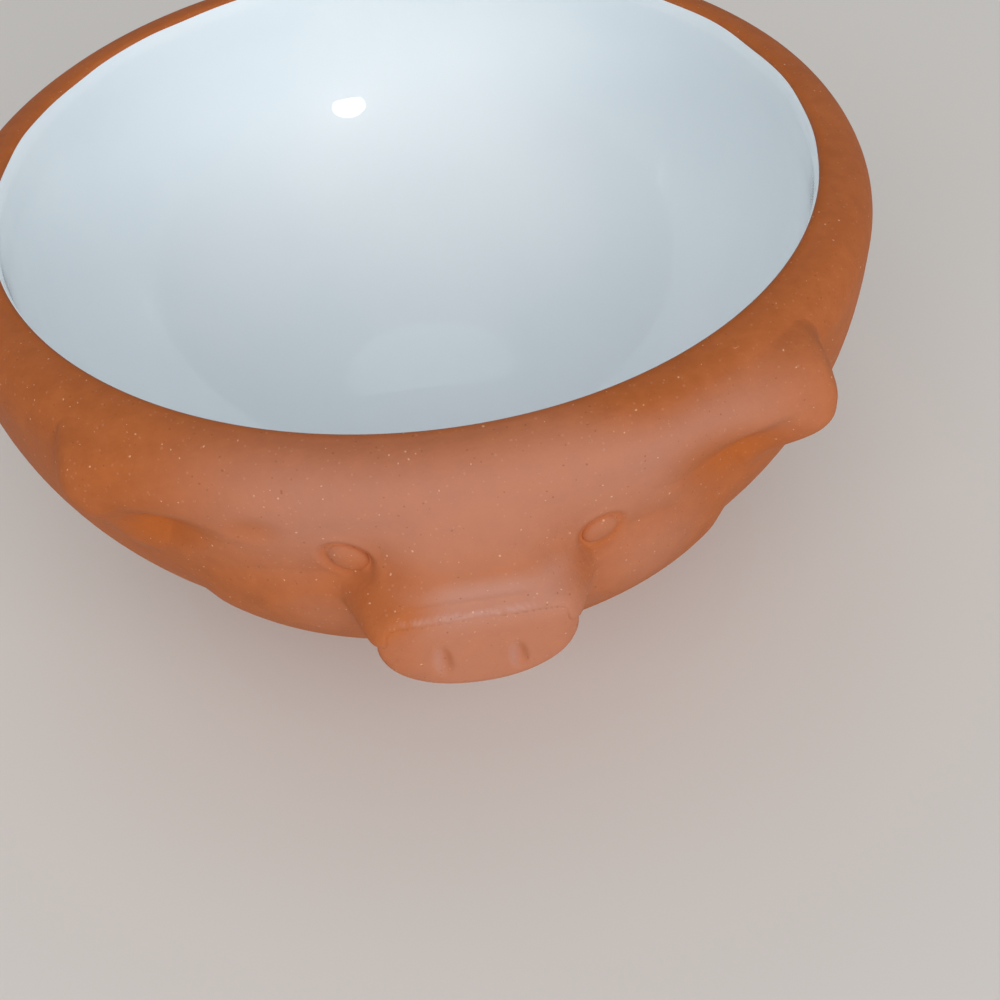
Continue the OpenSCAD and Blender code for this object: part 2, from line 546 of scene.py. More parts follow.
@dataclass(frozen=True)
class Tone:
    """Painted light and shade on the clay: painted sheen and highlight make it pale, painted shade makes
    its colour deeper.
    """

    form: BowlForm
    plane: NosePlane
    seats: tuple[EyeSeat, ...] = EYE_SEATS
    hollows: tuple[Hollow, ...] = HOLLOWS
    # Painted sheen is kept out of the hollows, which take painted shade
    hollow_spread: float = 1.15
    hollow_clear: float = 0.9
    # Painted shade in the grooves round the eyes
    groove_share: float = 0.7
    # Painted sheen on the brow, more of it on the right
    brow: Pair = (-2.0, 4.8)
    brow_end: Pair = (6.5, 19.0)
    brow_side: Pair = (16.0, 33.0)
    brow_middle: float = 4.0
    brow_right: Pair = (2.0, 5.9)
    brow_turn: Pair = (6.0, 18.0)
    # Painted highlight on the bridge of the snout and on the nose pad
    nose_side: Pair = (3.5, 8.5)
    pad_wider: float = 4.5
    nose_middle: float = 1.5
    nose_top: Pair = (10.5, 13.8)
    nose_end: Pair = (22.5, 27.0)
    bridge_share: float = 1.2
    pad_less: float = 0.45
    pad_top: Pair = (15.0, 17.5)
    # Painted sheen on the cheeks
    cheeks: tuple[tuple[Oval, float], ...] = (
        (Oval((-12.5, 18.0), (6.0, 5.5)), 0.4), (Oval((15.0, 17.0), (10.0, 8.0)), 0.6)
    )
    # Painted shade in the valley beside the bridge
    valley: Oval = Oval((-8.0, 13.0), (7.0, 5.0))
    valley_share: float = 0.85
    # Painted shade along the rim's edge by the glaze
    lip_r: Pair = (39.7, 40.5)
    lip_down: float = 1.0
    nose_depth: float = 1.2
    # Painted highlight along the torn edge above the nose pad
    burr: Grit = Grit((2.1, 1.0, 3.0), (5.3, 1.0, 6.0), 0.6)
    burr_share: float = 1.6
    burr_more: float = 0.55
    burr_up: float = -0.12
    burr_width: float = 0.2
    burr_side: Pair = (4.0, 6.6)
    burr_middle: float = -1.0
    # Painted highlight on the fold above the crease
    fold_up: float = 2.1
    fold_width: float = 1.3
    fold_share: float = 0.35
    # Painted highlight on each nostril's left bank and painted shade on its right
    nostril_reach: Pair = (1.1, 2.0)
    nostril_pale: Pair = (0.3, -0.6)
    nostril_deep: Pair = (0.0, 0.7)
    nostril_share: float = 0.6
    # Painted shade in the crease behind the left ear
    ear_crease: Pair = (35.6, 0.7)
    ear_crease_down: Pair = (4.0, 12.0)
    most_pale: float = 2.0

    def pale(self, across: float, down: float) -> float:
        """Finds where painted sheen and highlight make the clay pale: on the brow, the front of the snout
        and the cheeks.

        Args:
            across: Place round the bowl.
            down: Place down the outside.

        Returns:
            How pale the clay is there.
        """
        turn = smooth(*self.brow_turn, across)
        start, end = (mid(left, right, turn) for left, right in zip(self.brow, self.brow_right))
        brow = smooth(start, end, down) * fade(*self.brow_end, down)
        brow *= fade(*self.brow_side, abs(across - self.brow_middle))
        hollow = max(mark.weight(across, down, self.hollow_spread) for mark in self.hollows)
        cheek = max(share * hump(oval.ring(across, down)) for oval, share in self.cheeks)
        return max(brow, self.snout(across, down), cheek) * (1.0 - self.hollow_clear * hollow)

    def snout(self, across: float, down: float) -> float:
        """Finds where painted highlight makes the snout pale: most on the bridge, and wider on the nose
        pad.

        Args:
            across: Place round the bowl.
            down: Place down the outside.

        Returns:
            How pale the snout is there.
        """
        pad = smooth(*self.pad_top, down)
        share = (self.bridge_share - self.pad_less * pad) * smooth(*self.nose_top, down)
        edge = self.nose_side[1] + self.pad_wider * pad
        share *= fade(self.nose_side[0], edge, abs(across - self.nose_middle))
        return share * fade(*self.nose_end, down)

    def deep(self, across: float, down: float, radius: float) -> float:
        """Finds where painted shade makes the colour deep: in hollows, grooves, valleys and creases, and
        along the rim's edge by the glaze.

        Args:
            across: Place round the bowl.
            down: Place down the outside.
            radius: Distance from the bowl's axis.

        Returns:
            How deep the colour is there.
        """
        crease = hump((across + self.ear_crease[0]) / self.ear_crease[1])
        return max(
            max(mark.weight(across, down) for mark in self.hollows),
            self.groove_share * max(seat.groove(across, down) for seat in self.seats),
            self.valley_share * hump(self.valley.ring(across, down)),
            crease * between(*self.ear_crease_down, down),
            fade(*self.lip_r, radius) if down < self.lip_down else 0.0,
        )

    def nose(self, point: Vector) -> Pair:
        """Finds the painted light and shade on the nose pad: a painted highlight along its torn upper edge
        and on the fold above it, and on each nostril a painted highlight on the left bank and painted shade
        on the right.

        Args:
            point: A point of a piece, in millimetres.

        Returns:
            Extra painted light and extra painted shade there.
        """
        side, up, out = self.plane.locate(point)
        if abs(out) > self.nose_depth:
            return 0.0, 0.0
        near = fade(*self.burr_side, abs(side - self.burr_middle))
        line = near * bell((up - self.burr_up) / self.burr_width)
        pale = self.burr_share * line * clamp(self.burr.at(side, up) + self.burr_more)
        pale += self.fold_share * near * hump((up - self.fold_up) / self.fold_width)
        deep = 0.0
        for middle, high in NOSTRILS:
            away = (side - middle) / self.nostril_reach[0]
            share = hump(math.hypot(away, (up - high) / self.nostril_reach[1]))
            pale += share * smooth(*self.nostril_pale, away)
            deep += self.nostril_share * share * smooth(*self.nostril_deep, away)
        return pale, deep

    def paint(self, mesh: bpy.types.Mesh) -> None:
        """Writes the painted light and the painted shade to a mesh, as its pale and deep tones.

        Args:
            mesh: The mesh of a clay piece, in metres.
        """
        pale = mesh.attributes.new("pale", "FLOAT", "POINT")
        deep = mesh.attributes.new("deep", "FLOAT", "POINT")
        for index, vert in enumerate(mesh.vertices):
            x, y, z = vert.co / MM
            across, down = math.atan2(x, -y) * self.form.radius, self.form.down_at(z)
            nose_pale, nose_deep = self.nose(vert.co / MM)
            pale.data[index].value = min(self.pale(across, down) + nose_pale, self.most_pale)
            deep.data[index].value = min(self.deep(across, down, math.hypot(x, y)) + nose_deep, 1.0)


def new_piece(name: str, bm: bmesh.types.BMesh, tone: Tone | None = None) -> bpy.types.Object:
    """Writes a finished mesh to a new object, in metres.

    Args:
        name: The piece's name.
        bm: The mesh in millimetres, which is freed.
        tone: The tones to paint on a clay piece.

    Returns:
        The object, at the origin.
    """
    bmesh.ops.remove_doubles(bm, verts=bm.verts[:], dist=MERGE)
    bmesh.ops.recalc_face_normals(bm, faces=bm.faces[:])
    bmesh.ops.scale(bm, vec=(MM, MM, MM), verts=bm.verts[:])
    for face in bm.faces:
        face.smooth = True
    mesh = bpy.data.meshes.new(name)
    open_edges = sum(not edge.is_manifold for edge in bm.edges)
    bm.to_mesh(mesh)
    bm.free()
    if tone:
        tone.paint(mesh)
    piece = bpy.data.objects.new(name, mesh)
    bpy.context.scene.collection.objects.link(piece)
    log.info("%s: %d faces, %d open edges", name, len(mesh.polygons), open_edges)
    return piece


def place_piece(piece: bpy.types.Object, node: str, material: bpy.types.Material) -> None:
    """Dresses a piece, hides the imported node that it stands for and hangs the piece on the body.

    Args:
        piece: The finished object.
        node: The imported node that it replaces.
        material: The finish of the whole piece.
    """
    piece.data.materials.append(material)
    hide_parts(node)
    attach(piece, BODY)


def spin_section(points: list[Pair], spans: list[tuple[float, int]]) -> bmesh.types.BMesh:
    """Turns a half section about the bowl's axis.

    Args:
        points: Radius and height of each point of the section, in order.
        spans: Angle in radians and number of steps of each stretch of the turn, starting from the back.

    Returns:
        The turned mesh, with the seam merged.
    """
    bm = bmesh.new()
    verts = [bm.verts.new((0.0, radius, height)) for radius, height in points]
    for first, second in zip(verts, verts[1:]):
        bm.edges.new((first, second))
    last = bm.verts[:] + bm.edges[:]
    full = len(spans) == 1
    for angle, steps in spans:
        turned = bmesh.ops.spin(
            bm, geom=last, cent=(0, 0, 0), axis=(0, 0, 1), angle=angle, steps=steps, use_merge=full
        )
        last = turned["geom_last"]
    bmesh.ops.remove_doubles(bm, verts=bm.verts[:], dist=MERGE)
    return bm


def relief_patch(
    skin: Skin, outline: Outline, height: Relief, cells: tuple[int, int], gather: float = 0.0
) -> bmesh.types.BMesh:
    """Builds a piece that is stuck on the bowl with its edge smeared down.

    Args:
        skin: The outside that carries the piece.
        outline: The piece's edge.
        height: Height of the piece at a place across and down.
        cells: Number of grid cells both ways.
        gather: How far the cells are drawn in towards the middle from both sides, from 0 to 1.

    Returns:
        A closed mesh whose back lies inside the wall and whose edge dips just under the surface.
    """
    bury, dip, smear = 0.6, 0.03, 0.16
    bm = bmesh.new()
    bmesh.ops.create_grid(bm, x_segments=cells[0], y_segments=cells[1], size=1.0)
    raised = bmesh.ops.extrude_face_region(bm, geom=bm.faces[:])["geom"]
    tops = {item for item in raised if isinstance(item, bmesh.types.BMVert)}
    places: dict[Pair, Triple] = {}
    for vert in bm.verts:
        grid = vert.co.x * (1.0 - gather * (1.0 - vert.co.x**2)), vert.co.y
        if grid not in places:
            places[grid] = outline.place(grid)
        across, down, share = places[grid]
        lift = -bury
        if vert in tops:
            risen = smooth(0.0, smear, 1.0 - share)
            lift = height(across, down) * risen - dip * (1.0 - risen)
        vert.co = skin.point(across, down, lift)
    return bm


def cut_block(cuts: int) -> bmesh.types.BMesh:
    """Makes a block to be shaped.

    Args:
        cuts: Number of cuts across each side.

    Returns:
        A block of half size 1.
    """
    bm = bmesh.new()
    bmesh.ops.create_cube(bm, size=2.0)
    bmesh.ops.subdivide_edges(bm, edges=bm.edges[:], cuts=cuts, use_grid_fill=True)
    return bm


@dataclass(frozen=True)
class Bowl:
    """The thrown clay bowl, its foot ring and its lining of glaze."""

    form: BowlForm
    skin: Skin
    tone: Tone
    face_span: float = math.radians(100)
    face_steps: int = 300
    back_steps: int = 180
    shoulder_rows: int = 18
    face_rows: int = 36
    face_row: float = 0.3
    belly_rows: int = 44
    inside_rows: int = 26
    inside_drop: float = 0.7
    lip: tuple[Pair, ...] = ((0.0, 0.5), (0.06, 0.32), (0.22, 0.16), (0.5, 0.05))
    glaze: float = 0.6
    glaze_drop: float = 0.42
    glaze_feather: float = 1.2
    glaze_thin: float = 0.45
    glaze_root: float = 0.05
    glaze_steps: int = 240
    wall_rows: int = 80
    edge_rows: int = 12
    edge_gap: float = 0.2
    dish_rows: int = 24
    root_rows: int = 30
    floor_fade: float = 11.0
    waver: float = 0.22
    waver_depth: float = 5.0
    waver_count: float = 5.0
    melt: float = 0.05
    melt_size: float = 9.0
    melt_rise: float = 0.5
    foot_r: float = 24.0
    foot_face: float = 3.2
    foot_round: float = 0.9
    foot_lean: float = 0.5
    foot_sunk: float = 3.4
    foot_steps: int = 180
    round_rows: int = 6

    def outside(self) -> list[float]:
        """Chooses the rows of points down the outside.

        Returns:
            Distances down the outside, close together where the face is.
        """
        form = self.form
        shoulder = [form.band_start * i / self.shoulder_rows for i in range(self.shoulder_rows)]
        face = [form.band_start + self.face_row * i for i in range(self.face_rows)]
        belly = [mid(face[-1], form.belly_end, (i + 1) / self.belly_rows) for i in range(self.belly_rows)]
        return shoulder + face + belly

    def build_clay(self, material: bpy.types.Material) -> None:
        """Turns the clay wall, then presses the hollows and grooves into its outside.

        Args:
            material: The clay.
        """
        form = self.form
        turned = [form.section(down)[:2] for down in self.outside()]
        heights = self.levels(form.floor, form.top - self.inside_drop, self.inside_rows)
        inside = [(form.hollow(height, 0.0), height) for height in heights]
        lip = [(form.mouth_r + out, form.top - drop) for out, drop in self.lip]
        section = [(0.0, form.floor)] + inside + lip + turned + [(0.0, form.underside)]
        half_back = math.pi - self.face_span / 2, self.back_steps // 2
        bm = spin_section(section, [half_back, (self.face_span, self.face_steps), half_back])
        for vert in bm.verts:
            down = self.down_of(vert.co)
            if down is not None:
                across = math.atan2(vert.co.x, -vert.co.y) * form.radius
                vert.co = self.skin.point(across, down, 0.0)
        place_piece(new_piece("clay_bowl_body", bm, self.tone), "clay_bowl", material)

    def down_of(self, point: Vector) -> float | None:
        """Finds a turned point on the outside.

        Args:
            point: A point of the turned wall.

        Returns:
            How far down the outside it lies, or None for a point of the inside or underside.
        """
        form = self.form
        radius, height = math.hypot(point.x, point.y), point.z
        out, up = radius - form.rim_mid[0], height - form.rim_mid[1]
        if up >= -SLACK and out >= -SLACK and abs(math.hypot(out, up) - form.rim_r) < TOUCH:
            return form.rim_r * math.atan2(out, up)
        if abs(radius - form.radius) < TOUCH and height > form.belly_mid[1]:
            return form.band_start + form.rim_mid[1] - height
        out, up = radius - form.belly_mid[0], form.belly_mid[1] - height
        if up >= 0 and out >= -SLACK and abs(math.hypot(out, up) - form.belly_r) < TOUCH:
            return form.belly_start + form.belly_r * math.atan2(up, out)
        return None

    @staticmethod
    def levels(low: float, high: float, count: int) -> list[float]:
        """Heights from low to high, closer together near the low end."""
        return [low + (high - low) * (i / count) ** 2 for i in range(1, count + 1)]

    def lining(self, top: float, height: float) -> float:
        """Measures the lining, which is thinner above the belly and ends in a rounded edge.

        Args:
            top: Height of the lining's edge.
            height: Height above the table.

        Returns:
            Thickness of the lining at the height.
        """
        low = self.form.belly_mid[1]
        above = max(height - low, 0.0) / (self.form.top - low)
        feather = math.sqrt(clamp((top - height) / self.glaze_feather))
        return self.glaze * (1.0 - self.glaze_thin * above) * feather

    def floor_ease(self, radius: float) -> float:
        """Lets the wall's curve fade slowly into the lining's floor.

        Args:
            radius: Distance from the bowl's axis.

        Returns:
            How far the floor rises there, below zero where it sinks.
        """
        curve = self.form.belly_r - self.form.wall - self.glaze
        flat, half = self.form.belly_mid[0], self.floor_fade
        share = clamp((radius - flat + half) / (2.0 * half))
        # An eased start of the curve, summed twice, which ends a tenth ahead of the turned curve
        eased = 4.0 * half**2 * (share**4 / 4.0 - share**5 / 10.0)
        turned = min(max(radius - flat, 0.0), half) ** 2 / 2.0
        return (eased - turned - 0.1 * half**2) / curve

    def build_glaze(self, material: bpy.types.Material) -> None:
        """Turns the lining: a smooth inner face that thins out below the rim, and a back in the clay.

        Args:
            material: The glaze.
        """
        form = self.form
        top, bottom, low = form.top - self.glaze_drop, form.floor + self.glaze, form.floor - self.glaze_root
        wall = [mid(top, bottom, 1.0 - (i / self.wall_rows) ** 2) for i in range(self.wall_rows + 1)]
        steps = range(self.edge_rows + 1)
        edge = [top - self.glaze_feather * (1.0 - i / self.edge_rows) ** 2 for i in steps]
        heights = [height for height in wall if height < edge[0] - self.edge_gap] + edge
        inner = [(form.hollow(height, self.lining(top, height)), height) for height in heights]
        dish = [(inner[0][0] * i / self.dish_rows, inner[0][1]) for i in range(self.dish_rows)]
        face = [(radius, height + self.floor_ease(radius)) for radius, height in dish + inner]
        roots = reversed(self.levels(low, top, self.root_rows))
        back = [(form.hollow(height, -self.glaze_root), height) for height in roots]
        bm = spin_section(face + back + [(0.0, low)], [(2 * math.pi, self.glaze_steps)])
        for vert in bm.verts:
            vert.co += self.ripple(vert.co, top)
        place_piece(new_piece("glaze_lining_shell", bm), "glaze_lining", material)

    def ripple(self, point: Vector, top: float) -> Vector:
        """Lets the lining run as melted glass does: a wavering edge and a faint swell.

        Args:
            point: A point of the turned lining.
            top: Height of the lining's edge.

        Returns:
            How far the point moves.
        """
        near_edge = smooth(top - self.waver_depth, top, point.z)
        turn = Vector((point.x, point.y, 0.0))
        turn = turn.normalized() if turn.length > SLACK else Vector()
        rise = self.waver * near_edge * noise.noise(turn * self.waver_count)
        swell = self.melt * noise.noise(point / self.melt_size) * (1.0 - near_edge)
        return swell * (turn + Vector((0.0, 0.0, self.melt_rise))) + Vector((0.0, 0.0, rise))

    def build_foot(self, material: bpy.types.Material) -> None:
        """Turns the foot ring with wiped edges, up into the belly.

        Args:
            material: The clay.
        """
        outer, inner = self.foot_r, self.foot_r - self.foot_face - 2 * self.foot_round
        top = self.form.underside + self.foot_sunk
        turns = [math.pi / 2 * i / self.round_rows for i in range(self.round_rows + 1)]
        bend = self.foot_round
        bends = [(bend * (1.0 - math.sin(turn)), bend * (1.0 - math.cos(turn))) for turn in turns]
        low_in = [(inner + away, height) for away, height in reversed(bends)]
        low_out = [(outer - away, height) for away, height in bends]
        high = [(outer + self.foot_lean, top), (inner - self.foot_lean, top)]
        bm = spin_section(low_in + low_out + high + low_in[:1], [(2 * math.pi, self.foot_steps)])
        place_piece(new_piece("foot_ring_turned", bm, self.tone), "foot_ring", material)


@dataclass(frozen=True)
class Snout:
    """The cheeks and the bridge of the snout, which are one lump of clay."""

    skin: Skin
    plane: NosePlane
    tone: Tone
    cells: tuple[int, int] = (250, 180)
    gather: float = 0.4
    cheeks: Oval = Oval((0.0, 27.0), (28.4, 14.2), 4.0)
    brow: Oval = Oval((0.0, 17.4), (11.2, 13.2))
    cheek_heights: Pair = (1.5, 1.85)
    cheek_turn: Pair = (-8.0, 8.0)
    cheek_across: float = 28.0
    cheek_power: float = 4.5
    cheek_top: Pair = (11.8, 22.5)
    cheek_low: Pair = (32.0, 39.4)
    apple: Oval = Oval((13.0, 17.5), (9.0, 6.5))
    apple_height: float = 0.9
    sink: float = 0.05
    pad_sink: float = 1.4
    pad_up: Pair = (-0.5, -1.6)
    corner_side: Pair = (6.4, 7.6)
    corner_up: Pair = (-3.8, -1.4)
    narrowing: tuple[Pair, ...] = ((-2.5, 8.5), (-0.5, 7.7), (1.6, 5.8), (4.0, 4.9), (8.5, 4.0))
    steep_flank: float = 5.5
    soft_up: Pair = (-4.1, -1.6)
    low_flank: Pair = (1.15, 3.8)
    high_flank: Pair = (2.4, 3.9)
    high_up: Pair = (-1.5, 2.5)
    flank_ease: float = 0.7
    ease_at: float = 0.3
    ease_reach: float = 3.6
    fuller: Pair = (0.65, 0.3)
    fuller_side: Pair = (0.0, 4.0)
    fuller_up: tuple[Pair, Pair] = ((-3.4, -0.8), (5.0, 0.5))
    brow_ease: float = 1.8
    cheek_ease: float = 3.0
    fold_up: float = 2.2
    fold_height: float = 0.3
    fold_width: float = 1.4
    valley_up: float = 0.8
    valley_depth: float = 0.17
    valley_width: float = 0.8

    def cheek(self, across: float, down: float) -> float:
        """Shapes the cheeks, each with a low swelling below its eye.

        Args:
            across: Place round the bowl.
            down: Place down the outside.

        Returns:
            Height of the cheeks there.
        """
        height = mid(*self.cheek_heights, smooth(*self.cheek_turn, across))
        side = max(1.0 - (abs(across) / self.cheek_across) ** self.cheek_power, 0.0)
        height *= side * smooth(*self.cheek_top, down) * fade(*self.cheek_low, down)
        return height + self.apple_height * hump(self.apple.ring(abs(across), down))

    def half_width(self, up: float) -> float:
        """Narrows the bridge towards the brow.

        Args:
            up: Place up the nose plane.

        Returns:
            Half the width of the bridge there.
        """
        for (low, wide), (high, narrow) in zip(self.narrowing, self.narrowing[1:]):
            if up < high:
                return mid(wide, narrow, smooth(low, high, max(up, low)))
        return self.narrowing[-1][1]

    def flank(self, side: float, up: float) -> float:
        """Slopes the snout's flanks: steeply below the nose pad's corners and softly above them.

        Args:
            side: Place sideways on the nose plane.
            up: Place up the nose plane.

        Returns:
            Share of the snout's height that is left there.
        """
        past = abs(side) - self.half_width(up) if up > self.plane.wide_at else self.plane.outside(side, up)
        fuller = self.fuller[side > 0] * smooth(*self.fuller_side, abs(side))
        past -= fuller * math.prod(smooth(*ends, up) for ends in self.fuller_up)
        steep = max(1.0 - max(past, 0.0) / self.steep_flank, 0.0) ** 2
        high = smooth(*self.high_up, up)
        shoulder, foot = (mid(*ends, high) for ends in zip(self.low_flank, self.high_flank))
        foot += self.flank_ease * hump((up - self.ease_at) / self.ease_reach)
        return mid(steep, fade(-shoulder, foot, past), smooth(*self.soft_up, up))

    def bridge(self, across: float, down: float) -> float:
        """Raises the bridge to the nose plane, with a fold and a valley above the nose pad.

        Args:
            across: Place round the bowl.
            down: Place down the outside.

        Returns:
            Height of the snout there.
        """
        form = self.skin.form
        length, side, up = self.plane.meet(form.spot(across, down), form.outward(across, down), self.sink)
        length = blend_max(length, 0.0, self.brow_ease)
        fold = self.fold_height * hump((up - self.fold_up) / self.fold_width)
        valley = self.valley_depth * hump((up - self.valley_up) / self.valley_width)
        corner = smooth(*self.corner_side, abs(side)) * smooth(*self.corner_up, up)
        under = self.pad_sink * smooth(*self.pad_up, up) * (1.0 - corner)
        return max(length + fold - valley - under, 0.0) * self.flank(side, up)

    def height(self, across: float, down: float) -> float:
        """Height of the whole lump at a place."""
        return join(self.cheek(across, down), self.bridge(across, down), self.cheek_ease)

    def build(self, material: bpy.types.Material) -> None:
        """Builds the lump as a patch on the bowl, with one outline for the cheeks and the brow.

        Args:
            material: The clay.
        """
        outline = Outline(self.cheeks.middle, (self.cheeks, self.brow))
        bm = relief_patch(self.skin, outline, self.height, self.cells, self.gather)
        place_piece(new_piece("muzzle_lump", bm, self.tone), "muzzle", material)


@dataclass(frozen=True)
class NosePad:
    """The disc on the end of the snout, with two nostrils pressed into it."""

    plane: NosePlane
    tone: Tone
    cuts: int = 79
    thickness: float = 2.6
    proud: float = 0.03
    bulge: float = 0.3
    edge_powers: Pair = (2.6, 12.0)
    edge_up: Pair = (-0.4, 0.7)
    mark_depth: Pair = (0.3, 0.9)
    nostril_half: Pair = (1.0, 1.8)
    nostril_depth: float = 0.48
    nostril_lean: float = 0.12
    nostril_slope: float = 0.7
    burr: float = 0.1
    burr_grit: Grit = Grit((1.9, 1.2, 4.0), (4.7, 1.0, 9.0), 0.5)
    burr_more: float = 0.55
    burr_width: float = 0.22
    burr_low: float = 0.7
    burr_side: Pair = (3.5, 6.8)
    burr_middle: float = -1.2
    swell: float = 0.05
    swell_scale: float = 0.35
    swell_seed: float = 2.0

    def build(self, material: bpy.types.Material) -> None:
        """Shapes the disc, presses the nostrils and roughens the edge by the crease.

        Args:
            material: The clay.
        """
        plane = self.plane
        bm = cut_block(self.cuts)
        origin = Vector(plane.crease) + plane.outward * self.proud
        for vert in bm.verts:
            side, deep, up = self.shape(vert.co)
            deep -= self.detail(side, up) * fade(*self.mark_depth, deep / self.thickness)
            vert.co = origin + Vector((side, 0, 0)) + plane.upward * up - plane.outward * deep
        place_piece(new_piece("nose_pad_disc", bm, self.tone), "nose_pad", material)

    def shape(self, block: Vector) -> Triple:
        """Maps a place on the starting block to the plain disc.

        Args:
            block: A place on the surface of a block of half size 1.

        Returns:
            The place sideways, its depth behind the face and its place up the plane.
        """
        plane = self.plane
        x, y, z = (abs(value) for value in block)
        power, tall = (plane.above_power, plane.above) if block.z > 0 else (plane.below_power, plane.below)
        ring = (x**power + z**power) ** (1.0 / power)
        edge = mid(*self.edge_powers, smooth(*self.edge_up, block.z))
        scale = 1.0 / (ring**edge + y**edge) ** (1.0 / edge)
        side = block.x * scale * plane.half_width
        up = plane.wide_at + block.z * scale * tall
        deep = self.thickness * (1.0 + block.y * scale) / 2
        round_off = self.bulge * (ring * scale) ** 2 * fade(0.0, 1.0, block.z)
        return side, deep + round_off, up

    def detail(self, side: float, up: float) -> float:
        """Draws the small marks on the disc's face.

        Args:
            side: Place sideways on the nose plane.
            up: Place up the nose plane.

        Returns:
            Height of the marks there.
        """
        height = 0.0
        for middle, high in NOSTRILS:
            away = (side - middle + self.nostril_lean * (up - high)) / self.nostril_half[0]
            share = hump(math.hypot(away, (up - high) / self.nostril_half[1]))
            height -= self.nostril_depth * share * (1.0 + self.nostril_slope * min(max(away, -1.0), 1.0))
        torn = max(self.burr_grit.at(side, up) + self.burr_more, 0.0)
        torn *= bell(up / self.burr_width + self.burr_low)
        torn *= fade(*self.burr_side, abs(side - self.burr_middle))
        place = Vector((side * self.swell_scale, up * self.swell_scale, self.swell_seed))
        return height + self.swell * noise.noise(place) + self.burr * torn


@dataclass(frozen=True)
class Ear:
    """One ear: a pinched ridge that grows out of the rim, with a lip that runs down from its tip.

    The ovals of its edge and their common start are given across from the tip. A crack stands off the ear
    altogether unless it is given a place and a depth.
    """

    skin: Skin
    tone: Tone
    side: Side
    tip: float
    tip_height: float
    lip_share: float
    cells: tuple[int, int] = (130, 100)
    ridge_oval: Oval = Oval((-8.0, 7.0), (12.6, 4.9))
    lip_oval: Oval = Oval((-1.0, 9.8), (6.4, 8.2))
    start: Pair = (-2.6, 7.6)
    root: float = 12.5
    grow_power: float = 1.6
    rise: Pair = (3.0, 7.8)
    rise_ease: float = 0.5
    rise_powers: Pair = (2.4, 1.45)
    rise_change: float = 6.0
    fall: Pair = (7.0, 12.2)
    back_width: float = 3.7
    front_width: float = 6.0
    lip_fade: Pair = (9.0, 16.8)
    lip_thin: Pair = (7.5, 11.0)
    lip_lean: float = 0.32
    lip_start: float = 8.5
    lip_join: float = 1.4
    crack_at: float = 99.0
    crack_width: float = 0.28
    crack_depth: float = 0.0
    crack_down: Pair = (4.0, 12.6)

    def from_tip(self, place: Pair) -> Pair:
        """A place on the ear's side of the face, given across from its tip."""
        return self.side.value * (self.tip + place[0]), place[1]

    @property
    def outline(self) -> Outline:
        """Sets the ear's ovals by its tip.

        Returns:
            The ear's edge: an oval along the ridge and one down the lip.
        """
        ovals = (self.ridge_oval, self.lip_oval)
        placed = tuple(replace(oval, middle=self.from_tip(oval.middle)) for oval in ovals)
        return Outline(self.from_tip(self.start), placed)

    def climb(self, away: float, down: float) -> float:
        """Raises the ear from the rim to its edge, more quickly near the tip.

        Args:
            away: Distance round the bowl on the ear's own side.
            down: Place down the outside.

        Returns:
            Share of the ear's height there.
        """
        share = max((down - self.rise[0]) / (self.rise[1] - self.rise[0]), 0.0)
        share = max(-blend_max(-share, -1.0, self.rise_ease), 0.0)
        return share ** mid(*self.rise_powers, smooth(self.root + self.rise_change, self.tip, away))

    def height(self, across: float, down: float) -> float:
        """Shapes the ridge and the lip, cut short where the ear has cracked off behind.

        Args:
            across: Place round the bowl.
            down: Place down the outside.

        Returns:
            Height of the ear there.
        """
        away = self.side.value * across
        grown = max(away - self.root, 0.0) / (self.tip - self.root)
        tall = self.tip_height * self.climb(away, down)
        ridge = tall * min(grown, 1.0) ** self.grow_power * fade(*self.fall, down)
        ridge *= hump(max(away - self.tip, 0.0) / self.back_width)
        line = self.tip - self.lip_lean * max(down - self.lip_start, 0.0)
        width = self.back_width if away > line else self.front_width
        lip = tall * fade(*self.lip_fade, down) * hump((away - line) / width)
        lip *= mid(1.0, self.lip_share, smooth(*self.lip_thin, down))
        past_crack = (away - self.crack_at) / self.crack_width
        crack = self.crack_depth * bell(past_crack) * between(*self.crack_down, down)
        return join(ridge, lip, self.lip_join) * fade(-1.0, 2.0, past_crack) - crack

    def build(self, material: bpy.types.Material) -> None:
        """Builds the ear as a patch on the bowl.

        Args:
            material: The clay.
        """
        bm = relief_patch(self.skin, self.outline, self.height, self.cells)
        name = f"{self.side.word}_ear"
        place_piece(new_piece(f"{name}_pinched", bm, self.tone), name, material)


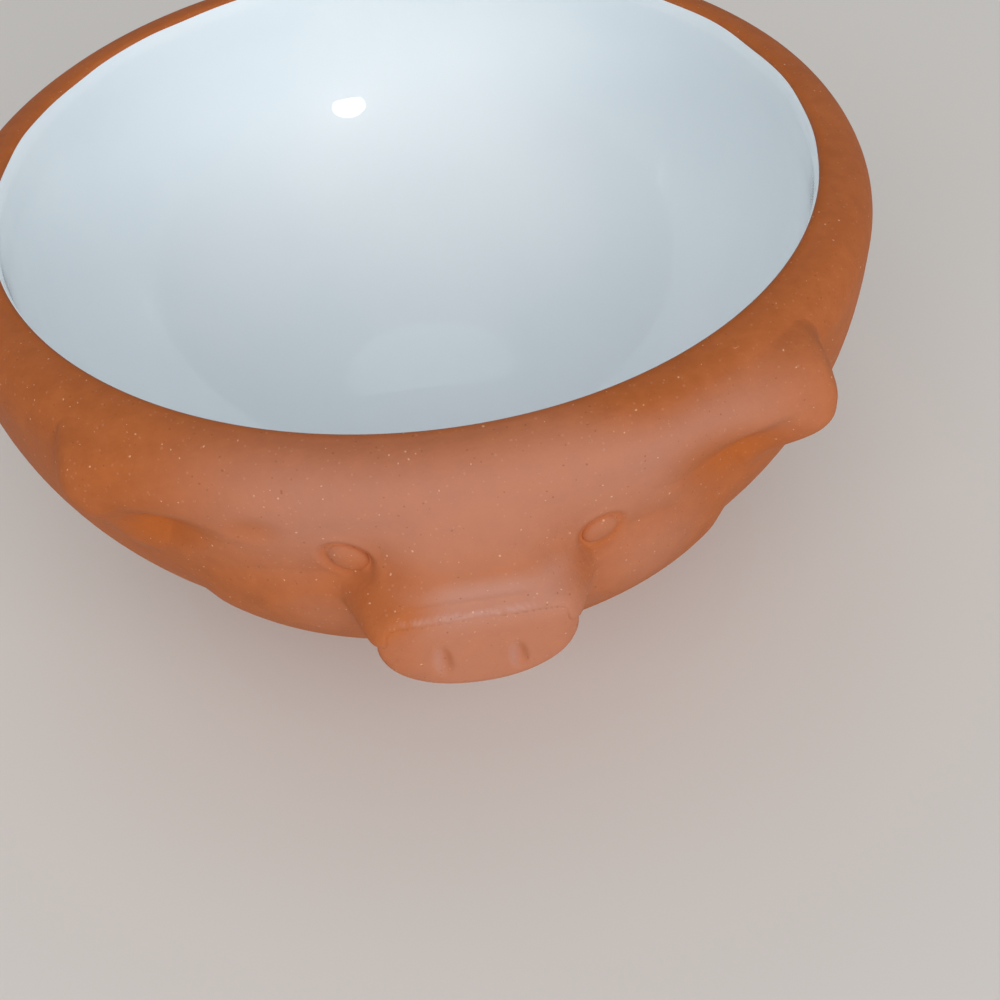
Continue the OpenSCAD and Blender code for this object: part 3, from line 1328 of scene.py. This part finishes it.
@dataclass(frozen=True)
class Eye:
    """One eye: an oval pellet pressed into its groove, with its inner end standing proud."""

    skin: Skin
    tone: Tone
    seat: EyeSeat
    cuts: int = 23
    outline_power: float = 2.1
    edge_power: float = 2.3
    proud: float = 0.36
    depth: float = 0.85
    lean: float = math.radians(8)
    uneven: float = 0.05
    uneven_scale: float = 0.8
    uneven_seed: float = 5.0

    def pellet(self) -> bmesh.types.BMesh:
        """Rolls the pellet: a rounded block, flat along Y and a little uneven.

        Returns:
            The closed mesh, round the origin.
        """
        bm = cut_block(self.cuts)
        half = self.seat.half
        seed = Vector((self.seat.side.value * self.uneven_seed, 0, 0))
        for vert in bm.verts:
            x, y, z = (abs(value) for value in vert.co)
            ring = (x**self.outline_power + z**self.outline_power) ** (1.0 / self.outline_power)
            vert.co /= (ring**self.edge_power + y**self.edge_power) ** (1.0 / self.edge_power)
            vert.co = Vector((vert.co.x * half[0], vert.co.y * self.depth, vert.co.z * half[1]))
            vert.co += vert.co.normalized() * self.uneven * noise.noise(vert.co * self.uneven_scale + seed)
        return bm

    def build(self, material: bpy.types.Material) -> None:
        """Rolls the pellet, leans and slants it, and sets it on the bowl.

        Args:
            material: The clay.
        """
        seat, sign = self.seat, self.seat.side.value
        across = sign * seat.across
        lean = Matrix.Rotation(sign * self.lean, 3, "Z")
        slant = Matrix.Rotation(-sign * seat.slant, 3, "Y")
        sideways, outward, upward = self.skin.axes(across, seat.down)
        basis = Matrix((sideways, -outward, upward)).transposed()
        lift = self.proud - self.depth + self.skin.swell(across, seat.down)
        bm = self.pellet()
        bmesh.ops.rotate(bm, verts=bm.verts[:], cent=(0, 0, 0), matrix=basis @ slant @ lean)
        bmesh.ops.translate(bm, verts=bm.verts[:], vec=self.skin.form.spot(across, seat.down, lift))
        name = f"{seat.side.word}_eye"
        place_piece(new_piece(f"{name}_pellet", bm, self.tone), name, material)


class Nodes:
    """A short way to add shader nodes to one tree."""

    def __init__(self, tree: bpy.types.NodeTree) -> None:
        """Keeps the tree."""
        self.tree = tree

    def add(self, kind: str, settings: dict | None = None, **inputs: object) -> bpy.types.Node:
        """Adds a node.

        Args:
            kind: The node's type name.
            settings: Properties of the node itself.
            inputs: Values or output sockets for inputs, by name with underscores for spaces.

        Returns:
            The new node.
        """
        node = self.tree.nodes.new(kind)
        for name, value in (settings or {}).items():
            setattr(node, name, value)
        for name, value in inputs.items():
            self.feed(node.inputs[name.replace("_", " ")], value)
        return node

    def feed(self, socket: bpy.types.NodeSocket, value: object) -> None:
        """Links an output to a socket, or sets its value.

        Args:
            socket: The input that is fed.
            value: An output socket, or a plain value.
        """
        if isinstance(value, bpy.types.NodeSocket):
            self.tree.links.new(value, socket)
        else:
            socket.default_value = value

    def math(self, operation: str, first: object, second: object) -> bpy.types.NodeSocket:
        """Works out a sum on two values.

        Args:
            operation: The sum's name.
            first: The first value or socket.
            second: The second value or socket.

        Returns:
            The result.
        """
        node = self.add("ShaderNodeMath", {"operation": operation})
        self.feed(node.inputs[0], first)
        self.feed(node.inputs[1], second)
        return node.outputs[0]

    def ramp(self, value: object, low: Pair, high: Pair) -> bpy.types.NodeSocket:
        """Maps a value smoothly from one pair of ends to another.

        Args:
            value: The value or socket.
            low: The ends that it runs between.
            high: What the ends become.

        Returns:
            The mapped value.
        """
        node = self.add("ShaderNodeMapRange", {"interpolation_type": "SMOOTHSTEP"}, Value=value)
        for name, number in zip(("From Min", "From Max", "To Min", "To Max"), low + high):
            node.inputs[name].default_value = number
        return node.outputs["Result"]

    def mix(self, share: object, first: object, second: object) -> bpy.types.NodeSocket:
        """Mixes two colours.

        Args:
            share: Share of the second colour.
            first: The first colour or socket.
            second: The second colour or socket.

        Returns:
            The mixed colour.
        """
        node = self.add("ShaderNodeMix", {"data_type": "RGBA"})
        for index, value in ((0, share), (6, first), (7, second)):
            self.feed(node.inputs[index], value)
        return node.outputs[2]

    def group(self, tree: bpy.types.NodeTree, **inputs: float) -> bpy.types.NodeSocket:
        """Places a node group that has one output, which is given back."""
        return self.add("ShaderNodeGroup", {"node_tree": tree}, **inputs).outputs[0]

    def attribute(self, name: str) -> bpy.types.NodeSocket:
        """A value that is painted on the mesh."""
        return self.add("ShaderNodeAttribute", {"attribute_name": name}).outputs["Fac"]

    def cloud(self, scale: object, detail: float) -> bpy.types.NodeSocket:
        """Soft noise on the object's own coordinates."""
        place = self.add("ShaderNodeTexCoord").outputs["Object"]
        return self.add("ShaderNodeTexNoise", Vector=place, Scale=scale, Detail=detail).outputs["Fac"]


def rgba(colour: Rgb) -> tuple[float, float, float, float]:
    """Turns a screen colour into a linear one.

    Args:
        colour: Red, green and blue from 0 to 255.

    Returns:
        The linear colour, with an alpha of 1.
    """
    def linear(value: float) -> float:
        """One part of the colour."""
        share = value / 255.0
        return share / 12.92 if share <= 0.04045 else ((share + 0.055) / 1.055) ** 2.4
    return linear(colour[0]), linear(colour[1]), linear(colour[2]), 1.0


def new_group(name: str, inputs: dict[str, float], output: str) -> tuple[Nodes, dict, bpy.types.NodeSocket]:
    """Starts a shader node group of plain values.

    Args:
        name: The group's name.
        inputs: Names and defaults of its inputs.
        output: Name of its output.

    Returns:
        The group's nodes, its input sockets by name and its output socket.
    """
    tree = bpy.data.node_groups.new(name, "ShaderNodeTree")
    for label, value in inputs.items():
        socket = tree.interface.new_socket(name=label, in_out="INPUT", socket_type="NodeSocketFloat")
        socket.default_value = value
    tree.interface.new_socket(name=output, in_out="OUTPUT", socket_type="NodeSocketFloat")
    nodes = Nodes(tree)
    given = {socket.name: socket for socket in nodes.add("NodeGroupInput").outputs}
    return nodes, given, nodes.add("NodeGroupOutput").inputs[output]


def specks_group() -> bpy.types.NodeTree:
    """Scatters specks of uneven size and outline.

    Returns:
        The group, whose Mask is 1 on a speck.
    """
    wander_scale, wander_reach, least_size, soft_edge = 2.5, 0.35, 0.4, (0.7, 1.2)
    nodes, given, mask = new_group("scattered_specks", {"Scale": 700.0, "Size": 0.1, "Share": 0.3}, "Mask")
    place = nodes.add("ShaderNodeTexCoord").outputs["Object"]
    scale = nodes.math("MULTIPLY", given["Scale"], wander_scale)
    wander = nodes.add("ShaderNodeTexNoise", Vector=place, Scale=scale)
    bent = nodes.add("ShaderNodeVectorMath", {"operation": "SCALE"})
    nodes.feed(bent.inputs[0], wander.outputs["Color"])
    nodes.feed(bent.inputs["Scale"], nodes.math("DIVIDE", wander_reach, given["Scale"]))
    moved = nodes.add("ShaderNodeVectorMath", {"operation": "ADD"})
    nodes.feed(moved.inputs[0], place)
    nodes.feed(moved.inputs[1], bent.outputs["Vector"])
    cells = nodes.add("ShaderNodeTexVoronoi", Vector=moved.outputs["Vector"], Scale=given["Scale"])
    parts = nodes.add("ShaderNodeSeparateColor", Color=cells.outputs["Color"])
    chosen = nodes.math("LESS_THAN", parts.outputs["Red"], given["Share"])
    size = nodes.math("MULTIPLY", given["Size"], nodes.math("ADD", parts.outputs["Green"], least_size))
    spot = nodes.ramp(nodes.math("DIVIDE", cells.outputs["Distance"], size), soft_edge, (1.0, 0.0))
    nodes.feed(mask, nodes.math("MULTIPLY", spot, chosen))
    return nodes.tree


def mottle_group() -> bpy.types.NodeTree:
    """Spreads soft uneven patches at two sizes.

    Returns:
        The group, whose Mask runs from 0 to 1.
    """
    finer, spread = 9.0, (0.2, 0.8)
    nodes, given, mask = new_group("soft_mottle", {"Scale": 60.0, "Fine": 0.35}, "Mask")
    broad = nodes.cloud(given["Scale"], detail=3.0)
    fine = nodes.cloud(nodes.math("MULTIPLY", given["Scale"], finer), detail=4.0)
    nodes.feed(mask, nodes.ramp(nodes.mix(given["Fine"], broad, fine), spread, (0.0, 1.0)))
    return nodes.tree


def grain_group() -> bpy.types.NodeTree:
    """Gives the small relief of a worked surface.

    Returns:
        The group, whose Height runs about 0 to 1.
    """
    inputs = {"Scale": 2200.0, "Wave": 160.0, "Waviness": 0.5}
    nodes, given, height = new_group("surface_grain", inputs, "Height")
    wave = nodes.math("MULTIPLY", nodes.cloud(given["Wave"], detail=2.0), given["Waviness"])
    nodes.feed(height, nodes.math("ADD", nodes.cloud(given["Scale"], detail=3.0), wave))
    return nodes.tree


@dataclass(frozen=True)
class Groups:
    """The shader node groups that the finishes share."""

    specks: bpy.types.NodeTree = field(default_factory=specks_group)
    mottle: bpy.types.NodeTree = field(default_factory=mottle_group)
    grain: bpy.types.NodeTree = field(default_factory=grain_group)


def start_material(name: str) -> tuple[bpy.types.Material, Nodes, bpy.types.Node]:
    """Starts a material.

    Args:
        name: The material's name.

    Returns:
        The material, its nodes and its main shader.
    """
    material = bpy.data.materials.new(name)
    material.use_nodes = True
    return material, Nodes(material.node_tree), material.node_tree.nodes["Principled BSDF"]


@dataclass(frozen=True)
class Specks:
    """One kind of speck: how close its cells lie, its size, the share of cells with one, and its colour."""

    scale: float
    size: float
    share: float
    colour: Rgb
    strength: float

    def cover(self, nodes: Nodes, groups: Groups, under: object) -> bpy.types.NodeSocket:
        """Lays the specks over a colour.

        Args:
            nodes: The material's nodes.
            groups: The shared node groups.
            under: The colour below them.

        Returns:
            The colour with the specks.
        """
        mask = nodes.group(groups.specks, Scale=self.scale, Size=self.size, Share=self.share)
        return nodes.mix(nodes.math("MULTIPLY", mask, self.strength), under, rgba(self.colour))


@dataclass(frozen=True)
class Grain:
    """The small relief of a finish: its fine and wavy scales, how wavy it is, and its height in metres."""

    scale: float
    wave: float
    waviness: float
    height: float
    strength: float

    def roughen(self, nodes: Nodes, groups: Groups, shader: bpy.types.Node) -> None:
        """Bends a shader's normals by the relief.

        Args:
            nodes: The material's nodes.
            groups: The shared node groups.
            shader: The material's main shader.
        """
        relief = nodes.group(groups.grain, Scale=self.scale, Wave=self.wave, Waviness=self.waviness)
        bump = nodes.add("ShaderNodeBump", Height=relief, Distance=self.height, Strength=self.strength)
        nodes.feed(shader.inputs["Normal"], bump.outputs["Normal"])


@dataclass(frozen=True)
class ClayFinish:
    """Unglazed fired clay: an orange-red body, mottled, with pale sand and a few dark grains, and the
    painted light and painted shade that are written on the mesh.
    """

    name: str = "fired_clay"
    colour: Rgb = (182, 103, 54)
    warm: Rgb = (162, 86, 38)
    patch_scale: float = 70.0
    patch_fine: float = 0.5
    # Painted sheen and highlight: the tint that the pale tone on the mesh mixes in
    painted_light: Rgb = (185, 135, 118)
    painted_light_share: float = 0.55
    # Painted shade: the tint that the deep tone on the mesh mixes in
    painted_shade: Rgb = (178, 92, 26)
    painted_shade_share: float = 0.62
    specks: tuple[Specks, ...] = (
        Specks(2300.0, 0.2, 0.4, (226, 180, 150), 0.12),
        Specks(2100.0, 0.15, 0.25, (112, 60, 34), 0.4),
        Specks(1500.0, 0.11, 0.3, (226, 180, 150), 0.6),
    )
    grain: Grain = Grain(2400.0, 220.0, 0.8, 0.00006, 0.8)
    roughness: Pair = (0.66, 0.8)
    specular: float = 0.32

    def material(self, groups: Groups) -> bpy.types.Material:
        """Builds the finish.

        Args:
            groups: The shared node groups.

        Returns:
            The material.
        """
        material, nodes, shader = start_material(self.name)
        mottle = nodes.group(groups.mottle, Scale=self.patch_scale, Fine=self.patch_fine)
        colour = nodes.mix(mottle, rgba(self.warm), rgba(self.colour))
        # Mixes in the painted light and the painted shade that are written on the mesh
        tones = (("pale", self.painted_light_share, self.painted_light), ("deep", self.painted_shade_share, self.painted_shade))
        for tone, share, tint in tones:
            colour = nodes.mix(nodes.math("MULTIPLY", nodes.attribute(tone), share), colour, rgba(tint))
        for specks in self.specks:
            colour = specks.cover(nodes, groups, colour)
        nodes.feed(shader.inputs["Base Color"], colour)
        nodes.feed(shader.inputs["Roughness"], nodes.ramp(mottle, (0.0, 1.0), self.roughness))
        self.grain.roughen(nodes, groups, shader)
        shader.inputs["Specular IOR Level"].default_value = self.specular
        return material


@dataclass(frozen=True)
class GlazeFinish:
    """Glossy white glaze with a faint blue cast, a few brown specks and a slow swell."""

    name: str = "white_glaze"
    colour: Rgb = (239, 246, 249)
    pool: Rgb = (230, 240, 246)
    pool_scale: float = 28.0
    specks: Specks = Specks(95.0, 0.03, 0.1, (150, 118, 92), 0.6)
    grain: Grain = Grain(420.0, 120.0, 2.0, 0.00004, 0.5)
    roughness: float = 0.27
    specular: float = 0.2
    coat_roughness: float = 0.03

    def material(self, groups: Groups) -> bpy.types.Material:
        """Builds the finish.

        Args:
            groups: The shared node groups.

        Returns:
            The material.
        """
        material, nodes, shader = start_material(self.name)
        mottle = nodes.group(groups.mottle, Scale=self.pool_scale, Fine=0.0)
        colour = nodes.mix(mottle, rgba(self.pool), rgba(self.colour))
        nodes.feed(shader.inputs["Base Color"], self.specks.cover(nodes, groups, colour))
        self.grain.roughen(nodes, groups, shader)
        shader.inputs["Roughness"].default_value = self.roughness
        shader.inputs["Specular IOR Level"].default_value = self.specular
        shader.inputs["Coat Weight"].default_value = 1.0
        shader.inputs["Coat Roughness"].default_value = self.coat_roughness
        return material


@dataclass(frozen=True)
class Lamp:
    """One soft lamp, aimed at the bowl from a bearing off the front and a height angle, in metres."""

    name: str
    bearing: float
    rise: float
    distance: float
    size: float
    power: float
    mirrored: bool = False

    def build(self, aim: Vector) -> None:
        """Adds the lamp and turns it to the aim.

        Args:
            aim: The point that the lamp looks at.
        """
        light = bpy.data.lights.new(self.name, "AREA")
        light.shape = "DISK"
        light.size = self.size
        light.energy = self.power
        high = math.radians(self.rise)
        away = around(math.radians(self.bearing), math.cos(high), math.sin(high))
        lamp = bpy.data.objects.new(self.name, light)
        lamp.visible_glossy = self.mirrored
        lamp.location = aim + away * self.distance
        lamp.rotation_euler = (-away).to_track_quat("-Z", "Y").to_euler()
        bpy.context.scene.collection.objects.link(lamp)


@dataclass(frozen=True)
class Studio:
    """The pale floor, the soft light and the camera. The floor and the clip distance are in metres."""

    eye: Triple = (-3.9, -111.75, 110.13)
    aim: Triple = (3.18, -37.31, 30.0)
    roll: float = math.radians(-4.38)
    lens: float = 46.8
    sensor: float = 36.0
    clip_start: float = 0.005
    floor_half: float = 3.0
    floor_colour: Rgb = (226, 223, 218)
    floor_roughness: float = 0.8
    sky: float = 0.4
    sky_colour: Rgb = (250, 250, 252)
    lamp_aim: Triple = (0.0, 0.0, 25.0)
    lamps: tuple[Lamp, ...] = (
        Lamp("key_lamp", 20.0, 29.0, 1.6, 1.8, 14.0),
        Lamp("window_lamp", -36.0, 33.0, 0.9, 0.5, 1.5),
        Lamp("back_lamp", 195.0, 34.0, 1.6, 1.8, 2.5),
        Lamp("spark_lamp", 14.6, 15.5, 0.6, 0.11, 0.35, mirrored=True),
    )

    def build(self) -> None:
        """Adds the floor, the lamps, the sky and the camera."""
        self.build_floor()
        for lamp in self.lamps:
            lamp.build(Vector(self.lamp_aim) * MM)
        world = bpy.data.worlds.new("studio_sky")
        world.use_nodes = True
        sky = world.node_tree.nodes["Background"]
        sky.inputs["Color"].default_value = rgba(self.sky_colour)
        sky.inputs["Strength"].default_value = self.sky
        bpy.context.scene.world = world
        bpy.context.scene.view_settings.view_transform = "Standard"
        self.build_camera()

    def build_floor(self) -> None:
        """Adds the plain pale floor."""
        bm = bmesh.new()
        bmesh.ops.create_grid(bm, x_segments=1, y_segments=1, size=self.floor_half)
        mesh = bpy.data.meshes.new("studio_floor")
        bm.to_mesh(mesh)
        bm.free()
        floor = bpy.data.objects.new("studio_floor", mesh)
        bpy.context.scene.collection.objects.link(floor)
        material, _, shader = start_material("pale_floor")
        shader.inputs["Base Color"].default_value = rgba(self.floor_colour)
        shader.inputs["Roughness"].default_value = self.floor_roughness
        mesh.materials.append(material)

    def build_camera(self) -> None:
        """Adds the camera at the photograph's place, aim and roll."""
        data = bpy.data.cameras.new("photo_camera")
        data.lens = self.lens
        data.sensor_width = self.sensor
        data.clip_start = self.clip_start
        camera = bpy.data.objects.new("photo_camera", data)
        eye, aim = Vector(self.eye) * MM, Vector(self.aim) * MM
        turn = (aim - eye).to_track_quat("-Z", "Y").to_matrix() @ Matrix.Rotation(self.roll, 3, "Z")
        camera.matrix_world = Matrix.Translation(eye) @ turn.to_4x4()
        bpy.context.scene.collection.objects.link(camera)
        bpy.context.scene.camera = camera


def main() -> None:
    """Builds the studio, the finishes and every piece, in order."""
    logging.basicConfig(level=logging.INFO, format="%(name)s: %(message)s")
    Studio().build()
    groups = Groups()
    clay = ClayFinish().material(groups)
    glaze = GlazeFinish().material(groups)
    form = BowlForm.from_frame()
    skin = Skin(form)
    plane = NosePlane()
    tone = Tone(form, plane)
    bowl = Bowl(form, skin, tone)
    bowl.build_clay(clay)
    bowl.build_glaze(glaze)
    bowl.build_foot(clay)
    Snout(skin, plane, tone).build(clay)
    NosePad(plane, tone).build(clay)
    for seat in skin.eyes:
        Eye(skin, tone, seat).build(clay)
    Ear(
        skin, tone, Side.LEFT, tip=32.6, tip_height=2.45, lip_share=0.9, back_width=4.2,
        crack_at=35.4, crack_depth=0.25,
    ).build(clay)
    Ear(skin, tone, Side.RIGHT, tip=31.7, tip_height=4.2, lip_share=1.0).build(clay)


if __name__ == "__main__":
    main()
